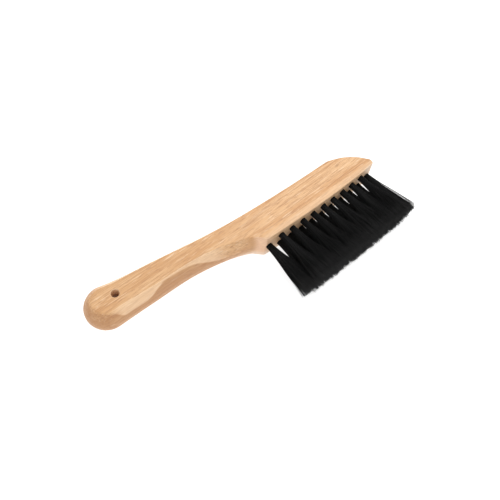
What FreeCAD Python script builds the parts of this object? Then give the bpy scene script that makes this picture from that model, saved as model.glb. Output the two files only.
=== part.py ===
import FreeCAD, Part
import Sketcher
import math
import os

# Neck duster brush: a flat wooden body with a rounded grip at one end and a brush block at the other.
# Twenty bristle tufts stand in blind holes in the narrow edge of the block, each folded over a flat
# metal anchor that is wedged across the bottom of its hole.
#
# All sizes are millimetres. Each body is drawn in plan coordinates: X runs from the grip end to the
# nose, Y is 0 on the chord of the bristle face with the bristles towards -Y, and Z is 0 on the
# underside. Placements then move the plan so that the origin is under the middle of the brush.

SIZES = [
    # alias, value, meaning
    ("overall_length", 210.0, "grip end to nose"),
    ("thickness", 20.0, "flat underside to flat top"),
    ("head_length", 97.7, "near corner of the bristle face to the nose"),
    ("block_width", 20.7, "bristle face chord to the straight back edge"),
    ("bristle_length", 38.7, "bristle face chord to the trimmed tips"),
    ("face_bow", 1.5, "how far the bristle face bulges past its chord"),
    ("nose_length", 30.0, "length of the curved part of the back edge"),
    ("corner_radius", 2.5, "upright corners at both ends of the bristle face"),
    ("rim_inset", 0.7, "broken edge round both flats, across"),
    ("rim_drop", 0.6, "broken edge round both flats, down the sides"),
    ("shoulder_run", 5.2, "face corner back to where the grip meets the shoulder, on the flats"),
    ("shoulder_rise", 5.4, "face chord to where the grip meets the shoulder, on the flats"),
    ("bulb_radius", 13.3, "rounded grip end, at half thickness"),
    ("bulb_across", 27.3, "centre of the grip end from the face chord"),
    ("bulb_bulge", 4.6, "how far the grip end swells past its flats"),
    ("side_bulge", 3.0, "how far the grip sides swell past its flats"),
    ("palm_across", 24.6, "middle of the grip at the palm"),
    ("palm_width", 21.2, "grip width at the palm"),
    ("neck_across", 22.3, "middle of the grip at its narrowest"),
    ("neck_width", 18.2, "grip width at its narrowest"),
    ("throat_across", 18.4, "middle of the grip before the block"),
    ("throat_width", 19.0, "grip width before the block"),
    ("heel_across", 25.1, "back edge level with the near face corner"),
    ("hole_diameter", 5.0, "hanging hole"),
    ("hole_from_end", 20.1, "hanging hole axis from the grip end"),
    ("hole_chamfer", 0.4, "broken rim of the hanging hole"),
    ("tuft_diameter", 4.2, "drilled tuft hole"),
    ("tuft_clearance", 0.05, "gap around a tuft in its hole"),
    ("tuft_depth", 6.0, "tuft hole bottom from the face chord"),
    ("row_spacing", 8.6, "between the upper and the lower row of tufts"),
    ("near_margin", 2.6, "face corner to the first single tuft"),
    ("near_gap", 9.3, "first single tuft to the first pair"),
    ("far_gap", 7.7, "last pair to the last single tuft"),
    ("far_margin", 5.6, "last single tuft to the nose"),
    ("tuft_collar", 0.4, "straight part of a tuft outside the face"),
    ("tip_gap", 0.4, "gap between neighbouring tufts at their tips"),
    ("near_splay", 2.4, "first tuft's tip leans this far towards the grip"),
    ("far_splay", 1.2, "last tuft's tip leans this far towards the nose"),
    ("single_spread", 7.0, "half thickness of a single tuft at its tip"),
    ("anchor_length", 5.2, "flat wire anchor, across the hole"),
    ("anchor_width", 1.8, "flat wire anchor, along the hole"),
    ("anchor_gauge", 0.45, "flat wire anchor, thickness"),
]
PAIR_COUNT = 9

# stations of the grip, as shares of its length from the grip end to the shoulder
GRIP_STATIONS = {"palm": 0.37, "neck": 0.61, "throat": 0.84}
# exponent of the nose curve: 1 is a quarter ellipse, and a larger one is more pointed
NOSE_POINT = 1.6
# share of the shoulder's flat that the swollen side of the grip hides at half thickness
SHOULDER_SWELL = 0.45

doc = FreeCAD.newDocument("neck_duster_brush")
sheet = doc.addObject("Spreadsheet::Sheet", "Sizes")
for row, (alias, value, meaning) in enumerate(SIZES, start=1):
    sheet.set(f"A{row}", meaning)
    sheet.set(f"B{row}", str(value))
    sheet.setAlias(f"B{row}", alias)
doc.recompute()
size = {alias: float(sheet.get(alias)) for alias, _, _ in SIZES}

MIDDLE_X = "Sizes.overall_length / 2"
MIDDLE_Y = "(Sizes.bulb_across + Sizes.bulb_radius - Sizes.bristle_length) / 2"
FACE_START = "(Sizes.overall_length - Sizes.head_length)"
PITCH = ("((Sizes.head_length - Sizes.near_margin - Sizes.near_gap - Sizes.far_gap"
         f" - Sizes.far_margin) / {PAIR_COUNT - 1})")
FIRST_TUFT = f"({FACE_START} + Sizes.near_margin)"
FIRST_PAIR = f"({FIRST_TUFT} + Sizes.near_gap)"
LAST_TUFT = "(Sizes.overall_length - Sizes.far_margin)"

face_start = size["overall_length"] - size["head_length"]
face_middle = face_start + size["head_length"] / 2
shoulder_x = face_start - size["shoulder_run"]
nose_start = size["overall_length"] - size["nose_length"]
first_tuft_x = face_start + size["near_margin"]
first_pair_x = first_tuft_x + size["near_gap"]
last_tuft_x = size["overall_length"] - size["far_margin"]
pitch = (last_tuft_x - size["far_gap"] - first_pair_x) / (PAIR_COUNT - 1)
upper_row = (size["thickness"] + size["row_spacing"]) / 2
lower_row = (size["thickness"] - size["row_spacing"]) / 2


# ---------------------------------------------------------------- helpers

def vec(x, y):
    return FreeCAD.Vector(x, y, 0)


def new_body(label, x="0", y="0", z="0"):
    """A body placed at plan coordinates x, y, z (expressions), moved to the brush's own origin."""
    body = doc.addObject("PartDesign::Body", label)
    body.Label = label
    body.setExpression(".Placement.Base.x", f"{x} - {MIDDLE_X}")
    body.setExpression(".Placement.Base.y", f"{y} - {MIDDLE_Y}")
    body.setExpression(".Placement.Base.z", z)
    return body


def origin_feature(body, role):
    return next(item for item in body.Origin.OriginFeatures if item.Role == role)


def new_sketch(body, name, role, offset="0"):
    """A sketch on one of the body's origin planes, moved along the plane's normal by an expression."""
    sketch = body.newObject("Sketcher::SketchObject", name)
    sketch.AttachmentSupport = [(origin_feature(body, role), "")]
    sketch.MapMode = "FlatFace"
    sketch.setExpression(".AttachmentOffset.Base.z", offset)
    return sketch


def bind(sketch, constraint, expression):
    index = sketch.addConstraint(constraint)
    sketch.setExpression(f"Constraints[{index}]", expression)


def place_point(sketch, geometry, point, x, y):
    """Ties one point of a sketch to expressions for its two coordinates."""
    here = sketch.getPoint(geometry, point)
    for kind, value, expression in (("DistanceX", here.x, x), ("DistanceY", here.y, y)):
        if expression is None:
            continue
        bind(sketch, Sketcher.Constraint(kind, -1, 1, geometry, point, value), expression)


def add_circle(sketch, x, y, radius, x_expression, y_expression, radius_expression):
    circle = sketch.addGeometry(Part.Circle(vec(x, y), FreeCAD.Vector(0, 0, 1), radius), False)
    place_point(sketch, circle, 3, x_expression, y_expression)
    bind(sketch, Sketcher.Constraint("Radius", circle, radius), radius_expression)


def add_rectangle(sketch, x, y, length, height, length_expression, height_expression, x_expression,
                  y_expression):
    """A rectangle about x, y, tied by its lower left and upper right corners."""
    corners = [vec(x - length / 2, y - height / 2), vec(x + length / 2, y - height / 2),
               vec(x + length / 2, y + height / 2), vec(x - length / 2, y + height / 2)]
    sides = [sketch.addGeometry(Part.LineSegment(corners[i], corners[(i + 1) % 4]), False)
             for i in range(4)]
    for i in range(4):
        sketch.addConstraint(Sketcher.Constraint("Coincident", sides[i], 2, sides[(i + 1) % 4], 1))
    sketch.addConstraint(Sketcher.Constraint("Horizontal", sides[0]))
    sketch.addConstraint(Sketcher.Constraint("Horizontal", sides[2]))
    sketch.addConstraint(Sketcher.Constraint("Vertical", sides[1]))
    sketch.addConstraint(Sketcher.Constraint("Vertical", sides[3]))
    place_point(sketch, sides[0], 1, f"{x_expression} - {length_expression} / 2",
                f"{y_expression} - {height_expression} / 2")
    place_point(sketch, sides[1], 2, f"{x_expression} + {length_expression} / 2",
                f"{y_expression} + {height_expression} / 2")


def add_curve(sketch, points, start_direction, end_direction):
    curve = Part.BSplineCurve()
    curve.interpolate(Points=points, InitialTangent=start_direction, FinalTangent=end_direction)
    sketch.addGeometry(curve, False)


def add_pad(body, name, sketch, length, reversed_side=False):
    pad = body.newObject("PartDesign::Pad", name)
    pad.Profile = sketch
    pad.Reversed = reversed_side
    pad.setExpression("Length", length)
    doc.recompute()
    return pad


def add_pocket(body, name, sketch, length, reversed_side=False):
    """A pocket that must take material away, because one that points outwards cuts nothing."""
    before = body.Shape
    pocket = body.newObject("PartDesign::Pocket", name)
    pocket.Profile = sketch
    pocket.Reversed = reversed_side
    pocket.setExpression("Length", length)
    doc.recompute()
    if not before.cut(pocket.Shape).Volume > 1e-3:
        raise ValueError(f"{name} cuts nothing")
    return pocket


def dress(body, kind, name, feature, keep, size_name, expression):
    """A fillet or chamfer on the edges of a feature that keep() picks."""
    edges = [f"Edge{i}" for i, edge in enumerate(feature.Shape.Edges, start=1) if keep(edge)]
    item = body.newObject(f"PartDesign::{kind}", name)
    item.Base = (feature, edges)
    item.setExpression(size_name, expression)
    doc.recompute()
    return item


def face_y(x):
    """Plan position of the bowed bristle face, an arc through its two corners."""
    half = size["head_length"] / 2
    radius = (half ** 2 + size["face_bow"] ** 2) / (2 * size["face_bow"])
    return radius - size["face_bow"] - math.sqrt(radius ** 2 - (x - face_middle) ** 2)


# ---------------------------------------------------------------- wooden body

def corner_arc(corner, back_along, on_along, radius):
    """Start, middle and end of the arc that rounds a corner between two directions."""
    back_along, on_along = back_along.normalize(), on_along.normalize()
    reach = radius / math.tan(back_along.getAngle(on_along) / 2)
    depth = math.hypot(reach, radius) - radius
    middle = corner + (back_along + on_along).normalize() * depth
    return corner + back_along * reach, middle, corner + on_along * reach


def body_outline(sketch, swell, rim=0):
    """Closed outline of the wood at one height, moved inwards by rim.

    swell is 0 beside the flats, where the grip is narrowest, and 1 at half thickness.
    """
    inset = size["side_bulge"] * (1 - swell) + rim
    radius = size["bulb_radius"] - size["bulb_bulge"] * (1 - swell) - rim
    centre = vec(size["bulb_radius"], size["bulb_across"])
    leave = math.radians(75)
    front = centre + vec(0, -radius)
    back = centre + vec(radius * math.cos(leave), radius * math.sin(leave))
    stations = [(share * shoulder_x, size[f"{name}_across"], size[f"{name}_width"] / 2 - inset)
                for name, share in GRIP_STATIONS.items()]

    corner = vec(face_start + rim * math.tan(math.radians(23)), rim)
    nose = vec(size["overall_length"] - rim, rim)
    reach = 1 - SHOULDER_SWELL * swell
    shoulder = corner + vec(-size["shoulder_run"], size["shoulder_rise"]) * reach
    tilt = 2 * math.atan(2 * size["face_bow"] / size["head_length"])
    near_corner = corner_arc(corner, shoulder - corner, vec(math.cos(tilt), -math.sin(tilt)),
                             size["corner_radius"])
    nose_corner = corner_arc(nose, vec(-math.cos(tilt), -math.sin(tilt)), vec(0, 1),
                             size["corner_radius"])
    nose_length = size["nose_length"] - rim
    nose_height = size["block_width"] - rim - nose_corner[2].y
    turns = [math.radians(15 * step) for step in range(7)]
    nose_curve = [vec(nose_start + nose_length * math.sin(turn),
                      nose_corner[2].y + nose_height * math.cos(turn) ** NOSE_POINT) for turn in turns]
    heel_drop = size["heel_across"] - size["block_width"]
    run = nose_start - face_start
    bulge = inset - rim
    heel = vec(face_start, size["heel_across"] - rim - bulge * 0.7)
    middle = vec(face_start + run / 2,
                 size["block_width"] - rim + heel_drop * 0.25 - bulge * 0.15)
    back_curve = ([back] + [vec(x, across + half) for x, across, half in stations]
                  + [heel, middle, nose_curve[0]])
    front_curve = [front] + [vec(x, across - half) for x, across, half in stations] + [shoulder]
    speed = shoulder_x / 4

    bulb = Part.Circle(centre, FreeCAD.Vector(0, 0, 1), radius)
    sketch.addGeometry(Part.ArcOfCircle(bulb, leave, math.radians(270)), False)
    add_curve(sketch, front_curve, vec(speed, 0), vec(0.86, -0.51) * speed)
    sketch.addGeometry(Part.LineSegment(shoulder, near_corner[0]), False)
    sketch.addGeometry(Part.Arc(*near_corner), False)
    face = Part.Arc(near_corner[2], vec(face_middle, rim - size["face_bow"]), nose_corner[0])
    sketch.addGeometry(face, False)
    sketch.addGeometry(Part.Arc(*nose_corner), False)
    add_curve(sketch, nose_curve[::-1], vec(0, 1) * size["block_width"],
              vec(-1, 0) * size["nose_length"])
    add_curve(sketch, back_curve[::-1], vec(-1, 0) * run / 2,
              vec(-math.sin(leave), math.cos(leave)) * speed)


def is_hanging_rim(edge):
    box = edge.BoundBox
    flat = box.ZLength < 1e-6
    small = box.XLength < 2 * size["hole_diameter"]
    return flat and small and abs(box.Center.x - size["hole_from_end"]) < 1e-3


def build_wooden_body():
    body = new_body("wooden_body")
    outlines = {}
    for name, offset, swell, rim in (
            ("underside", "0", 0, size["rim_inset"]),
            ("lower_edge", "Sizes.rim_drop", 0, 0),
            ("middle", "Sizes.thickness / 2", 1, 0),
            ("upper_edge", "Sizes.thickness - Sizes.rim_drop", 0, 0),
            ("top", "Sizes.thickness", 0, size["rim_inset"])):
        outlines[name] = new_sketch(body, f"outline_{name}", "XY_Plane", offset)
        body_outline(outlines[name], swell, rim)
    doc.recompute()
    for name, *chain in (("shaped_sides", "lower_edge", "middle", "upper_edge"),
                         ("broken_lower_edge", "underside", "lower_edge"),
                         ("broken_upper_edge", "upper_edge", "top")):
        loft = body.newObject("PartDesign::AdditiveLoft", name)
        loft.Profile = outlines[chain[0]]
        loft.Sections = [outlines[item] for item in chain[1:]]
        doc.recompute()

    hanging = new_sketch(body, "hanging_hole_outline", "XY_Plane")
    add_circle(hanging, size["hole_from_end"], size["bulb_across"], size["hole_diameter"] / 2,
               "Sizes.hole_from_end", "Sizes.bulb_across", "Sizes.hole_diameter / 2")
    hole = add_pocket(body, "hanging_hole", hanging, "Sizes.thickness", reversed_side=True)
    dress(body, "Chamfer", "hanging_hole_rims", hole, is_hanging_rim, "Size", "Sizes.hole_chamfer")

    drill_tufts(body)
    return body


def drill_tufts(body):
    """Blind tuft holes, each with a bite on both sides of its bottom for the flat wire anchor."""
    rows = [(upper_row, "(Sizes.thickness + Sizes.row_spacing) / 2"),
            (lower_row, "(Sizes.thickness - Sizes.row_spacing) / 2")]
    centre_row = (size["thickness"] / 2, "Sizes.thickness / 2")
    places = {"pair": [(first_pair_x, FIRST_PAIR, *row) for row in rows],
              "single": [(first_tuft_x, FIRST_TUFT, *centre_row),
                         (last_tuft_x, LAST_TUFT, *centre_row)]}
    mouth = "Sizes.face_bow + 1"
    pockets = {}
    for name, spots in places.items():
        holes = new_sketch(body, f"{name}_holes_outline", "XZ_Plane", mouth)
        bites = new_sketch(body, f"{name}_bites_outline", "XZ_Plane",
                           "Sizes.anchor_width - Sizes.tuft_depth")
        for x, x_expression, z, z_expression in spots:
            add_circle(holes, x, z, size["tuft_diameter"] / 2, x_expression, z_expression,
                       "Sizes.tuft_diameter / 2")
            add_rectangle(bites, x, z, size["anchor_length"], size["anchor_gauge"],
                          "Sizes.anchor_length", "Sizes.anchor_gauge", x_expression, z_expression)
        pockets[name] = [add_pocket(body, f"{name}_holes", holes, f"Sizes.tuft_depth + {mouth}"),
                         add_pocket(body, f"{name}_bites", bites, "Sizes.anchor_width")]
        if name == "pair":
            row = body.newObject("PartDesign::LinearPattern", "tuft_rows")
            row.Originals = pockets[name]
            row.Direction = (origin_feature(body, "X_Axis"), [""])
            row.setExpression("Length", f"{PITCH} * {PAIR_COUNT - 1}")
            row.Occurrences = PAIR_COUNT
            body.Tip = row
            doc.recompute()


# ---------------------------------------------------------------- tufts and anchors

def lean_of(x):
    """Sideways lean of a tuft's tip: towards the grip at the near end, the nose at the far end."""
    share = (x - first_tuft_x) / (last_tuft_x - first_tuft_x)
    return share * (size["near_splay"] + size["far_splay"]) - size["near_splay"]


def build_tuft(label, x, x_expression, z_expression, half_width, half_height):
    """Folded bundle: a straight shank in the hole that opens out to an oval at the trimmed tips."""
    body = new_body(label, x_expression, "0", z_expression)
    shank_radius = size["tuft_diameter"] / 2 - size["tuft_clearance"]
    radius_expression = "Sizes.tuft_diameter / 2 - Sizes.tuft_clearance"
    collar_y = face_y(x) - size["tuft_collar"]

    shank = new_sketch(body, f"{label}_shank_outline", "XZ_Plane", "-Sizes.tuft_depth")
    add_circle(shank, 0, 0, shank_radius, None, None, radius_expression)
    add_pad(body, f"{label}_shank", shank, f"Sizes.tuft_depth + {-collar_y:.6f}")

    root = new_sketch(body, f"{label}_root", "XZ_Plane", f"{-collar_y:.6f}")
    add_circle(root, 0, 0, shank_radius, None, None, radius_expression)
    tips = new_sketch(body, f"{label}_tips", "XZ_Plane", "Sizes.bristle_length")
    centre = vec(lean_of(x), 0)
    across, upright = vec(half_width, 0), vec(0, half_height)
    long_axis, short_axis = (across, upright) if half_width >= half_height else (upright, across)
    tips.addGeometry(Part.Ellipse(centre + long_axis, centre + short_axis, centre), False)
    fan = body.newObject("PartDesign::AdditiveLoft", f"{label}_fan")
    fan.Profile = root
    fan.Sections = [tips]
    doc.recompute()

    fold = new_sketch(body, f"{label}_fold_outline", "XZ_Plane",
                      "Sizes.anchor_width - Sizes.tuft_depth")
    add_rectangle(fold, 0, 0, size["anchor_length"], size["anchor_gauge"],
                  "Sizes.anchor_length", "Sizes.anchor_gauge", "0", "0")
    add_pocket(body, f"{label}_fold", fold, "Sizes.anchor_width")
    return body


def build_anchor(label, x_expression, z_expression):
    """Flat wire strip, wedged across the bottom of a tuft hole."""
    anchor = doc.addObject("Part::Box", label)
    anchor.Label = label
    anchor.setExpression("Length", "Sizes.anchor_length")
    anchor.setExpression("Width", "Sizes.anchor_width")
    anchor.setExpression("Height", "Sizes.anchor_gauge")
    anchor.setExpression(".Placement.Base.x", f"{x_expression} - Sizes.anchor_length / 2 - {MIDDLE_X}")
    anchor.setExpression(".Placement.Base.y",
                         f"Sizes.tuft_depth - Sizes.anchor_width - {MIDDLE_Y}")
    anchor.setExpression(".Placement.Base.z", f"{z_expression} - Sizes.anchor_gauge / 2")
    return anchor


def tuft_places():
    """Name, position and tip size of every tuft, from the grip end to the nose."""
    tip_pitch = pitch + (size["near_splay"] + size["far_splay"]) * pitch / (
        last_tuft_x - first_tuft_x)
    half_width = (tip_pitch - size["tip_gap"]) / 2
    near_half_width = min(half_width, size["near_gap"] - half_width)
    far_half_width = min(half_width, size["far_gap"] - half_width,
                         size["far_margin"] - size["far_splay"])
    height_room = min(size["row_spacing"], size["thickness"] - size["row_spacing"])
    pair_half_height = (height_room - size["tip_gap"]) / 2
    centre = "Sizes.thickness / 2"
    spread = size["single_spread"]
    places = [("near", first_tuft_x, FIRST_TUFT, centre, near_half_width, spread)]
    for number in range(1, PAIR_COUNT + 1):
        x = first_pair_x + (number - 1) * pitch
        x_expression = f"({FIRST_PAIR} + {number - 1} * {PITCH})"
        for row, sign in (("upper", "+"), ("lower", "-")):
            places.append((f"{row}_{number}", x, x_expression,
                           f"(Sizes.thickness {sign} Sizes.row_spacing) / 2",
                           half_width, pair_half_height))
    places.append(("far", last_tuft_x, LAST_TUFT, centre, far_half_width, spread))
    return places


pieces = [build_wooden_body()]
for name, x, x_expression, z_expression, half_width, half_height in tuft_places():
    pieces.append(build_tuft(f"bristle_tuft_{name}", x, x_expression, z_expression,
                             half_width, half_height))
    pieces.append(build_anchor(f"tuft_anchor_{name}", x_expression, z_expression))
doc.recompute()

for item in doc.Objects:
    if {"Invalid", "Error"} & set(item.State):
        raise ValueError(f"{item.Label} failed: {item.State}")
for piece in pieces:
    if piece.Shape.isNull() or not piece.Shape.isValid():
        raise ValueError(f"{piece.Label} has a bad shape")

os.makedirs("parts", exist_ok=True)
for piece in pieces:
    piece.Shape.exportStep(f"parts/{piece.Label}.step")
print(len(pieces), "pieces written")
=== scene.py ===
import math

import bpy
import numpy as np
from mathutils import Matrix, Vector


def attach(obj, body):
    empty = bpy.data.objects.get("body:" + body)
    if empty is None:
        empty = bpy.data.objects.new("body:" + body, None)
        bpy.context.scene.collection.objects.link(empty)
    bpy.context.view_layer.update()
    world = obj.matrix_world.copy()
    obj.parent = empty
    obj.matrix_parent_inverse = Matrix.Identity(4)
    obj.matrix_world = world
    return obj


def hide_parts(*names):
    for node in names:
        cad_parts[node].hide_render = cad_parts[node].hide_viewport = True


# Neck duster brush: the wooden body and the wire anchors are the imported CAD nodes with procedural
# materials. Every bristle tuft is rebuilt here as a bundle of separate filaments. Metres throughout.

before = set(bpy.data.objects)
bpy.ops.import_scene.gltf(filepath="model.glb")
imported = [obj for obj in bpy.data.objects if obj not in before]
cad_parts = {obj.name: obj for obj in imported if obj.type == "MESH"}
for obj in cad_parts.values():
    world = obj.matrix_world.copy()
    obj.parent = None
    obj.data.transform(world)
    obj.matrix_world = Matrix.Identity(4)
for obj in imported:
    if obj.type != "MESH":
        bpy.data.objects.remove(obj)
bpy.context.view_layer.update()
MM = 0.001

THICKNESS = 20 * MM
TUFT_DEPTH = 6.0 * MM           # how far a tuft sits in its hole
HOLE_RADIUS = 1.95 * MM         # the filaments fill the drilled hole

FILAMENT_RADIUS = 0.15 * MM
FILAMENTS_PER_PAIRED_TUFT = 300
FILAMENTS_PER_SINGLE_TUFT = 420
SEGMENTS = 9
SIDES = 4

PAIRED_FLARE = (0.115, 0.092)   # outward slopes of the outermost filaments: along the row, up
SINGLE_FLARE = (0.11, 0.10)
PAIRED_OPENS_BY = 26 * MM       # a paired tuft stays narrow near the wood and opens up to here
SINGLE_OPENS_BY = 20 * MM
SQUARENESS = 0.8                # a tuft is round at the root and nearly square at the tips
FAR_LEAN = -0.008               # the far end of the row leans back a little
STRAY_SHARE = 0.02              # filaments that point their own way
CROWD_START = 8.3 * MM          # beyond this height from the middle the filaments are pressed
CROWD_ROOM = 1.4 * MM           # together, into this much room
FLOOR_GAP = 0.15 * MM

CLUMPS = 14                     # filaments of a tuft cling together in clumps of uneven length
CLUMP_RAGGED = 0.40 * MM
TIP_RAGGED = 0.50 * MM          # spread of the filament ends about the trimmed face
TIP_REACH = 0.9 * MM            # the tips reach past that face, most in the middle of the row
LONGEST_REACH = 1.7 * MM

PALE = (0.76, 0.475, 0.25, 1)   # wood tones, and tones painted for light and shade
WARM = (0.66, 0.37, 0.17, 1)
GRIP_WARM = (0.58, 0.32, 0.135, 1)
ORANGE = (0.58, 0.29, 0.115, 1)
SCOOP_SHADE = (0.56, 0.28, 0.115, 1)
BROWN = (0.44, 0.215, 0.10, 1)
KNOT_BROWN = (0.27, 0.12, 0.05, 1)
CREAM = (0.86, 0.62, 0.40, 1)
SIDE_LIGHT_CREAM = (0.97, 0.71, 0.47, 1)
FACE_LIGHT_CREAM = (0.96, 0.66, 0.41, 1)
SHOULDER_PALE = (0.94, 0.63, 0.44, 1)
NOSE_LIGHT_TONE = (0.92, 0.70, 0.52, 1)
LOW_LIGHT = (0.90, 0.74, 0.60, 1)
KNOT_AT = (0.0825, 0.0128)


# ---------------------------------------------------------------- shader helpers

class Nodes:
    """A small builder for one material's node tree."""

    def __init__(self, name):
        self.material = bpy.data.materials.new(name)
        self.material.use_nodes = True
        self.tree = self.material.node_tree
        self.tree.nodes.clear()
        self.output = self.add("ShaderNodeOutputMaterial")
        self.shader = self.add("ShaderNodeBsdfPrincipled")
        self.link(self.shader.outputs["BSDF"], self.output.inputs["Surface"])

    def add(self, kind, **settings):
        node = self.tree.nodes.new(kind)
        for key, value in settings.items():
            setattr(node, key, value)
        return node

    def link(self, start, end):
        self.tree.links.new(start, end)

    def feed(self, socket, value):
        """Links an output to a socket, or sets the socket to a constant."""
        if isinstance(value, bpy.types.NodeSocket):
            self.link(value, socket)
        else:
            socket.default_value = value

    def place(self, scale):
        """Object coordinates, scaled along X, Y and Z."""
        coordinates = self.add("ShaderNodeTexCoord")
        mapping = self.add("ShaderNodeMapping")
        mapping.inputs["Scale"].default_value = scale
        self.link(coordinates.outputs["Object"], mapping.inputs["Vector"])
        return mapping.outputs["Vector"]

    def noise(self, vector, scale, detail=4.0, roughness=0.55, distortion=0.0):
        node = self.add("ShaderNodeTexNoise")
        self.link(vector, node.inputs["Vector"])
        node.inputs["Scale"].default_value = scale
        node.inputs["Detail"].default_value = detail
        node.inputs["Roughness"].default_value = roughness
        node.inputs["Distortion"].default_value = distortion
        return node.outputs["Fac"]

    def math(self, operation, first, second=0.0, clamp=False):
        node = self.add("ShaderNodeMath", operation=operation, use_clamp=clamp)
        self.feed(node.inputs[0], first)
        self.feed(node.inputs[1], second)
        return node.outputs[0]

    def ramp(self, value, low, high, to_low=0.0, to_high=1.0):
        """Smooth step from to_low at low to to_high at high."""
        node = self.add("ShaderNodeMapRange", interpolation_type="SMOOTHSTEP")
        self.feed(node.inputs["Value"], value)
        for name, number in (("From Min", low), ("From Max", high), ("To Min", to_low),
                             ("To Max", to_high)):
            node.inputs[name].default_value = number
        return node.outputs["Result"]

    def product(self, first, *others):
        for value in others:
            first = self.math("MULTIPLY", first, value)
        return first

    def position(self):
        """X, Y and Z of the surface point in the part's own frame, in metres."""
        separate = self.add("ShaderNodeSeparateXYZ")
        self.link(self.place((1, 1, 1)), separate.inputs[0])
        return separate.outputs

    def flatness(self):
        """1 on the flat top and underside, 0 on upright faces."""
        separate = self.add("ShaderNodeSeparateXYZ")
        self.link(self.add("ShaderNodeTexCoord").outputs["Normal"], separate.inputs[0])
        return self.math("ABSOLUTE", separate.outputs[2])

    def mix(self, factor, first, second):
        node = self.add("ShaderNodeMix", data_type="RGBA")
        self.feed(node.inputs["Factor"], factor)
        self.feed(node.inputs[6], first)
        self.feed(node.inputs[7], second)
        return node.outputs[2]


# ---------------------------------------------------------------- wood

def grain(n, bands, streaks, pores, flatness, x):
    """Broad bands along the length, then streaks, flames, dark pores and pale flecks."""
    tone = n.mix(n.ramp(bands, 0.34, 0.62), PALE, WARM)
    tone = n.mix(n.ramp(streaks, 0.50, 0.585, 0.0, 0.62), tone, BROWN)
    flames = n.noise(n.place((9, 240, 240)), 1.0, detail=3.0, roughness=0.6, distortion=0.6)
    tone = n.mix(n.ramp(flames, 0.52, 0.60, 0.0, 0.40), tone, ORANGE)
    grip_top = n.product(n.ramp(x, -0.015, 0.015, 1.0, 0.0), n.ramp(flatness, 0.9, 0.99), 0.28)
    tone = n.mix(grip_top, tone, GRIP_WARM)
    tone = n.mix(n.ramp(pores, 0.535, 0.60, 0.0, 0.75), tone, BROWN)
    flecks = n.noise(n.place((80, 900, 900)), 1.0, detail=3.0, roughness=0.6, distortion=0.3)
    return n.mix(n.ramp(flecks, 0.55, 0.70, 0.0, 0.65), tone, CREAM)


def growth_layers_and_side_light(n, tone, bands, side, flatness, x, z):
    """Layers that come out on the grip's side: dark below a wandering line and pale above it. Partly
    wood colour and partly painted light: the pale band stands for the lit upper side, the dark below
    partly for painted shade.
    """
    wander = n.noise(n.place((30, 60, 60)), 1.0, detail=2.0)
    edge = n.math("ADD", 0.0192, n.product(n.math("SUBTRACT", wander, 0.5), 0.004))
    at_bulb = n.product(n.ramp(x, -0.094, -0.086), n.ramp(x, -0.072, -0.058, 1.0, 0.0))
    at_neck = n.ramp(x, -0.044, -0.012)
    edge = n.math("SUBTRACT", edge, n.product(at_bulb, 0.0045))
    edge = n.math("SUBTRACT", edge, n.product(at_neck, 0.0080))
    layer = n.ramp(n.math("SUBTRACT", edge, z), 0.0, 0.0012)

    # dark layer below the line: growth-ring colour, partly painted shade on the grip's lower side
    low = n.ramp(z, 0.001, 0.010, 0.15, 1.0)
    grip = n.ramp(x, 0.001, 0.006, 1.0, 0.20)
    uneven = n.ramp(bands, 0.35, 0.60, 0.80, 1.1)
    tone = n.mix(n.product(layer, low, side, grip, uneven, 0.50), tone, BROWN)

    # pale band above the line: growth-ring colour, partly painted light on the grip's upper side
    wide_side = n.ramp(flatness, 0.93, 0.99, 1.0, 0.0)
    along_grip = n.product(n.ramp(x, -0.096, -0.086), n.ramp(x, -0.026, -0.012, 1.0, 0.0))
    above = n.product(wide_side, n.math("SUBTRACT", 1.0, layer), along_grip, 0.50)
    return n.mix(above, tone, SIDE_LIGHT_CREAM)


def face_light_and_shade(n, tone, side, x, y, z):
    """Tones on the faces at the shoulder, along the tufts and at the nose: painted shade in the
    scoop, a paler shoulder, a painted highlight on the front edge, painted light on the tuft face
    and the nose end, and painted floor light low on every side.
    """
    front_half = n.ramp(y, 0.004, 0.008, 1.0, 0.0)
    # painted shade in the concave run-out just before the shoulder
    scoop_shade = n.product(n.ramp(x, -0.018, -0.002), n.ramp(x, 0.0, 0.004, 1.0, 0.0),
                      n.ramp(z, 0.006, 0.013), front_half, side, 0.50)
    tone = n.mix(scoop_shade, tone, SCOOP_SHADE)
    # the front of the block next to the shoulder is painted paler
    shoulder = n.product(n.ramp(x, 0.000, 0.005), n.ramp(x, 0.007, 0.014, 1.0, 0.0), front_half,
                         side, 0.55)
    tone = n.mix(shoulder, tone, SHOULDER_PALE)
    # painted highlight: a pale band along the rounded front top edge of the block
    front_edge_highlight = n.product(n.ramp(y, 0.0006, 0.0028, 1.0, 0.0), n.ramp(x, 0.002, 0.008),
                           n.ramp(z, 0.0185, 0.0195), 0.38)
    tone = n.mix(front_edge_highlight, tone, CREAM)
    # painted light: the face between the tufts made pale as if lit from below
    face = n.product(n.ramp(y, -0.0002, 0.0016, 1.0, 0.0), n.ramp(x, 0.008, 0.012), side, 0.50)
    tone = n.mix(face, tone, FACE_LIGHT_CREAM)
    # light from the floor on the lower part of every side
    tone = n.mix(n.product(side, n.ramp(z, 0.0, 0.007, 0.75, 0.0)), tone, LOW_LIGHT)
    # painted light: the end of the nose made paler as if lit
    nose_end_light = n.product(side, n.ramp(x, 0.088, 0.102, 0.0, 0.65))
    return n.mix(nose_end_light, tone, NOSE_LIGHT_TONE)


def knot(n, tone, x, y):
    """A small knot near the nose, longer along the grain."""
    from_x = n.product(n.math("SUBTRACT", x, KNOT_AT[0]), 0.45)
    from_y = n.math("SUBTRACT", y, KNOT_AT[1])
    squares = n.math("ADD", n.product(from_x, from_x), n.product(from_y, from_y))
    reach = n.math("SQRT", squares)
    return n.mix(n.ramp(reach, 0.0002, 0.0013, 0.45, 0.0), tone, KNOT_BROWN)


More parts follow.
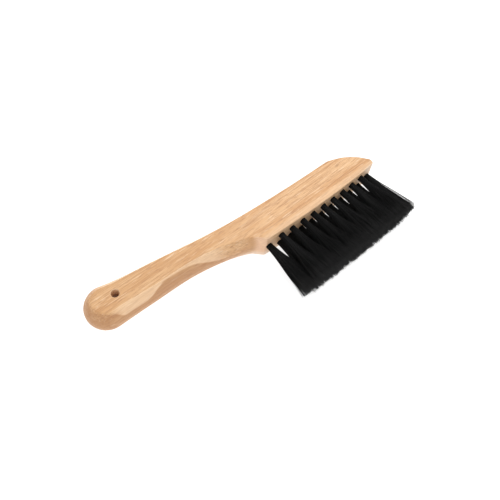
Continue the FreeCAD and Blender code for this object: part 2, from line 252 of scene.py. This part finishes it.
def wood_material():
    n = Nodes("pale_wood")
    x, y, z = n.position()
    flatness = n.flatness()
    side = n.ramp(flatness, 0.80, 0.97, 1.0, 0.0)
    bands = n.noise(n.place((6, 110, 110)), 1.0, detail=2.0, distortion=0.9)
    streaks = n.noise(n.place((26, 900, 900)), 1.0, detail=6.0, roughness=0.72, distortion=0.7)
    pores = n.noise(n.place((110, 1900, 1900)), 1.0, detail=4.0, roughness=0.65)

    tone = grain(n, bands, streaks, pores, flatness, x)
    tone = growth_layers_and_side_light(n, tone, bands, side, flatness, x, z)
    tone = face_light_and_shade(n, tone, side, x, y, z)
    tone = knot(n, tone, x, y)
    n.feed(n.shader.inputs["Base Color"], tone)
    n.feed(n.shader.inputs["Roughness"], n.ramp(streaks, 0.3, 0.8, 0.42, 0.62))
    n.shader.inputs["Specular IOR Level"].default_value = 0.35

    # shallow relief in the grain, over softly rounded edges
    relief = n.math("ADD", n.product(streaks, 0.6), n.product(pores, 0.4))
    bevel = n.add("ShaderNodeBevel", samples=6)
    bevel.inputs["Radius"].default_value = 0.9 * MM
    bump = n.add("ShaderNodeBump")
    bump.inputs["Strength"].default_value = 0.22
    bump.inputs["Distance"].default_value = 0.2 * MM
    n.link(relief, bump.inputs["Height"])
    n.link(bevel.outputs[0], bump.inputs["Normal"])
    n.link(bump.outputs[0], n.shader.inputs["Normal"])
    return n.material


# ---------------------------------------------------------------- other materials

def bristle_material():
    n = Nodes("black_bristle")
    fine = n.noise(n.place((1600, 60, 1600)), 1.0, detail=2.0)
    tone = n.mix(n.ramp(fine, 0.4, 0.75), (0.0035, 0.0035, 0.0037, 1), (0.012, 0.012, 0.012, 1))
    # cut ends catch a little more light
    _, y, _ = n.position()
    ends = n.ramp(y, -0.0405, -0.0290, 0.85, 0.0)
    tone = n.mix(ends, tone, (0.024, 0.024, 0.024, 1))
    n.feed(n.shader.inputs["Base Color"], tone)
    n.feed(n.shader.inputs["Roughness"], n.ramp(fine, 0.3, 0.7, 0.42, 0.6))
    n.shader.inputs["Specular IOR Level"].default_value = 0.12
    return n.material


def anchor_material():
    n = Nodes("flat_wire")
    drawn = n.noise(n.place((300, 4000, 4000)), 1.0, detail=3.0)
    n.shader.inputs["Metallic"].default_value = 1.0
    n.feed(n.shader.inputs["Base Color"], n.mix(drawn, (0.50, 0.50, 0.51, 1), (0.66, 0.66, 0.67, 1)))
    n.feed(n.shader.inputs["Roughness"], n.ramp(drawn, 0.3, 0.7, 0.28, 0.45))
    return n.material


def floor_material():
    n = Nodes("pale_floor")
    n.shader.inputs["Base Color"].default_value = (0.50, 0.50, 0.50, 1)
    n.shader.inputs["Roughness"].default_value = 0.95
    n.shader.inputs["Specular IOR Level"].default_value = 0.0
    n.shader.inputs["Emission Color"].default_value = (1, 1, 1, 1)
    n.shader.inputs["Emission Strength"].default_value = 0.80
    return n.material


# ---------------------------------------------------------------- filaments

def tubes(name, paths, radii, material):
    """One mesh of closed tubes. paths is (tubes, rings, 3), radii is (tubes, rings)."""
    count, rings, _ = paths.shape
    along = np.gradient(paths, axis=1)
    along /= np.linalg.norm(along, axis=2, keepdims=True)
    side = np.cross(along, np.array([0.0, 0.0, 1.0]))
    side /= np.linalg.norm(side, axis=2, keepdims=True)
    up = np.cross(side, along)
    turns = np.arange(SIDES) * 2 * math.pi / SIDES
    ring = (np.cos(turns)[None, None, :, None] * side[:, :, None, :]
            + np.sin(turns)[None, None, :, None] * up[:, :, None, :])
    points = paths[:, :, None, :] + ring * radii[:, :, None, None]
    index = np.arange(count * rings * SIDES).reshape(count, rings, SIDES)
    start = index[:, :-1, :]
    quads = np.stack([start, np.roll(start, -1, axis=2), np.roll(index[:, 1:, :], -1, axis=2),
                      index[:, 1:, :]], axis=-1).reshape(-1, SIDES)
    caps = np.concatenate([index[:, 0, ::-1], index[:, -1, :]])
    mesh = bpy.data.meshes.new(name)
    mesh.from_pydata(points.reshape(-1, 3).tolist(), [], np.concatenate([quads, caps]).tolist())
    mesh.polygons.foreach_set("use_smooth", [True] * len(mesh.polygons))
    mesh.materials.append(material)
    piece = bpy.data.objects.new(name, mesh)
    bpy.context.scene.collection.objects.link(piece)
    return piece


def tuft_frame(node):
    """Hole axis (x, z), hole bottom y and trim plane y of a CAD tuft."""
    corners = np.array([vertex.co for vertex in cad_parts[node].data.vertices])
    deepest = corners[:, 1].max()
    shank = corners[corners[:, 1] > deepest - 4 * MM]
    axis_x = (shank[:, 0].min() + shank[:, 0].max()) / 2
    axis_z = (shank[:, 2].min() + shank[:, 2].max()) / 2
    return axis_x, axis_z, deepest, corners[:, 1].min()


def tip_lengths(rng, count, spin, stray):
    """How far each filament stops short of the trimmed face (negative: how far past it)."""
    clump_of = (spin / (2 * math.pi) * CLUMPS).astype(int)
    clump = rng.normal(0, CLUMP_RAGGED, CLUMPS)
    short = rng.normal(0, TIP_RAGGED, count) + clump[clump_of]
    short[stray] -= rng.uniform(0.2, 1.4, stray.sum()) * MM
    return short


def press_together(z):
    """Filaments crowd near the top and the underside of the brush instead of passing them."""
    middle = THICKNESS / 2
    over = np.clip(np.abs(z - middle) - CROWD_START, 0, None)
    pressed = CROWD_START + CROWD_ROOM * np.tanh(over / CROWD_ROOM)
    z = np.where(over > 0, middle + np.sign(z - middle) * pressed, z)
    return np.clip(z, FLOOR_GAP + FILAMENT_RADIUS, THICKNESS - FLOOR_GAP)


def filament_paths(rng, node, along):
    """Centre lines that start in the hole and open out to the trimmed tips."""
    axis_x, axis_z, bottom, trim = tuft_frame(node)
    single = node.endswith(("near", "far"))
    count = FILAMENTS_PER_SINGLE_TUFT if single else FILAMENTS_PER_PAIRED_TUFT
    flare, flare_up = SINGLE_FLARE if single else PAIRED_FLARE

    # where each filament sits in the bundle
    spin = rng.uniform(0, 2 * math.pi, count)
    share = np.sqrt((np.arange(count) + 0.5) / count)
    share = np.clip(share + rng.normal(0, 0.03, count), 0.02, 1.0)
    corner = 1 / np.maximum(np.abs(np.cos(spin)), np.abs(np.sin(spin)))

    # stations along the filament: one inside the hole, the rest from the mouth to the tip
    stations = np.concatenate([[-0.85], np.linspace(0, 1, SEGMENTS + 1)])[None, :]
    out = np.clip(stations, 0, 1)
    mouth = bottom - TUFT_DEPTH
    travel = out * (mouth - trim)
    inside = np.where(stations < 0, -stations * TUFT_DEPTH, 0)
    if single:
        opening = travel * (0.45 + 0.55 * np.clip(travel / SINGLE_OPENS_BY, 0, 1))
    else:
        opening = travel * np.clip(travel / PAIRED_OPENS_BY, 0, 1) ** 1.5

    # each filament's own slope and curl
    slope = rng.normal(0, 1, (count, 2)) * 0.007
    curl = rng.normal(0, 1, (count, 2)) * (0.6 if single else 0.9) * MM
    stray = rng.random(count) < STRAY_SHARE
    slope[stray] *= 3.0
    drift = travel * (1 - np.exp(-travel / (2.5 * MM)))
    arch = out ** 2 * (1 + 0.15 * np.sin(6 * stations))

    square = 1 + (corner[:, None] - 1) * SQUARENESS * out
    unit_x = (share * np.cos(spin))[:, None] * square
    unit_z = (share * np.sin(spin))[:, None] * square
    x = (axis_x + unit_x * (HOLE_RADIUS + flare * opening) + FAR_LEAN * along * travel
         + slope[:, 0:1] * drift + curl[:, 0:1] * arch)
    z = (axis_z + unit_z * (HOLE_RADIUS + flare_up * opening)
         + slope[:, 1:2] * drift * 0.7 + curl[:, 1:2] * arch * 0.6)
    short = tip_lengths(rng, count, spin, stray)
    past = TIP_REACH * (0.3 + 0.7 * math.sin(math.pi * along))
    y = mouth + inside - travel + out * (short[:, None] - past)
    y = np.maximum(y, trim - LONGEST_REACH)
    return np.stack([x, y, press_together(z)], axis=2)


def build_tuft(node, along, seed, material):
    """The loose filaments that show in place of one CAD tuft."""
    rng = np.random.default_rng(seed)
    paths = filament_paths(rng, node, along)
    radii = np.full(paths.shape[:2], FILAMENT_RADIUS) * rng.uniform(0.85, 1.15, (len(paths), 1))
    radii[:, -1] *= 0.75
    piece = tubes(node.replace("bristle_tuft", "filaments"), paths, radii, material)
    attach(piece, "root")
    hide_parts(node)


# ---------------------------------------------------------------- object

wood = wood_material()
bristle = bristle_material()
wire = anchor_material()

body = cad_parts["wooden_body"]
body.data.materials.clear()
body.data.materials.append(wood)

tufts = sorted(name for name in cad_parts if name.startswith("bristle_tuft_"))
row_x = {name: tuft_frame(name)[0] for name in tufts}
first_x, last_x = min(row_x.values()), max(row_x.values())
for seed, name in enumerate(tufts, start=11):
    along = (row_x[name] - first_x) / (last_x - first_x)
    build_tuft(name, along, seed, bristle)

for name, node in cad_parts.items():
    if name.startswith("tuft_anchor_"):
        node.data.materials.clear()
        node.data.materials.append(wire)


# ---------------------------------------------------------------- studio

def add_floor():
    bpy.ops.mesh.primitive_plane_add(size=6, location=(0, 0, -0.0002))
    floor = bpy.context.object
    floor.name = "floor"
    floor.data.materials.append(floor_material())


def add_area(name, location, target, size, power):
    light = bpy.data.lights.new(name, "AREA")
    light.shape = "DISK"
    light.size = size
    light.energy = power
    lamp = bpy.data.objects.new(name, light)
    lamp.location = location
    lamp.rotation_euler = (Vector(target) - Vector(location)).to_track_quat("-Z", "Y").to_euler()
    bpy.context.scene.collection.objects.link(lamp)


def add_world(strength):
    world = bpy.data.worlds.new("studio")
    bpy.context.scene.world = world
    world.use_nodes = True
    background = world.node_tree.nodes["Background"]
    background.inputs["Color"].default_value = (1, 1, 1, 1)
    background.inputs["Strength"].default_value = strength


def add_camera():
    data = bpy.data.cameras.new("camera")
    data.lens = 43.2
    data.sensor_width = 36
    data.dof.use_dof = False
    data.clip_start = 0.01
    data.clip_end = 20
    camera = bpy.data.objects.new("camera", data)
    right = Vector((0.74895, -0.65768, 0.08080)).normalized()
    forward = Vector((0.38830, 0.33680, -0.85778)).normalized()
    up = right.cross(forward)
    axes = Matrix((right, up, -forward)).transposed().to_4x4()
    camera.matrix_world = Matrix.Translation((-0.14636, -0.12176, 0.32971)) @ axes
    bpy.context.scene.collection.objects.link(camera)
    bpy.context.scene.camera = camera


add_floor()
add_world(0.70)
add_area("overhead", (0.32, 0.24, 0.72), (0, 0, 0), 0.8, 4.0)
add_area("fill", (-0.5, -0.5, 0.6), (0, 0, 0), 0.9, 1.0)
add_camera()
bpy.context.scene.view_settings.view_transform = "Standard"
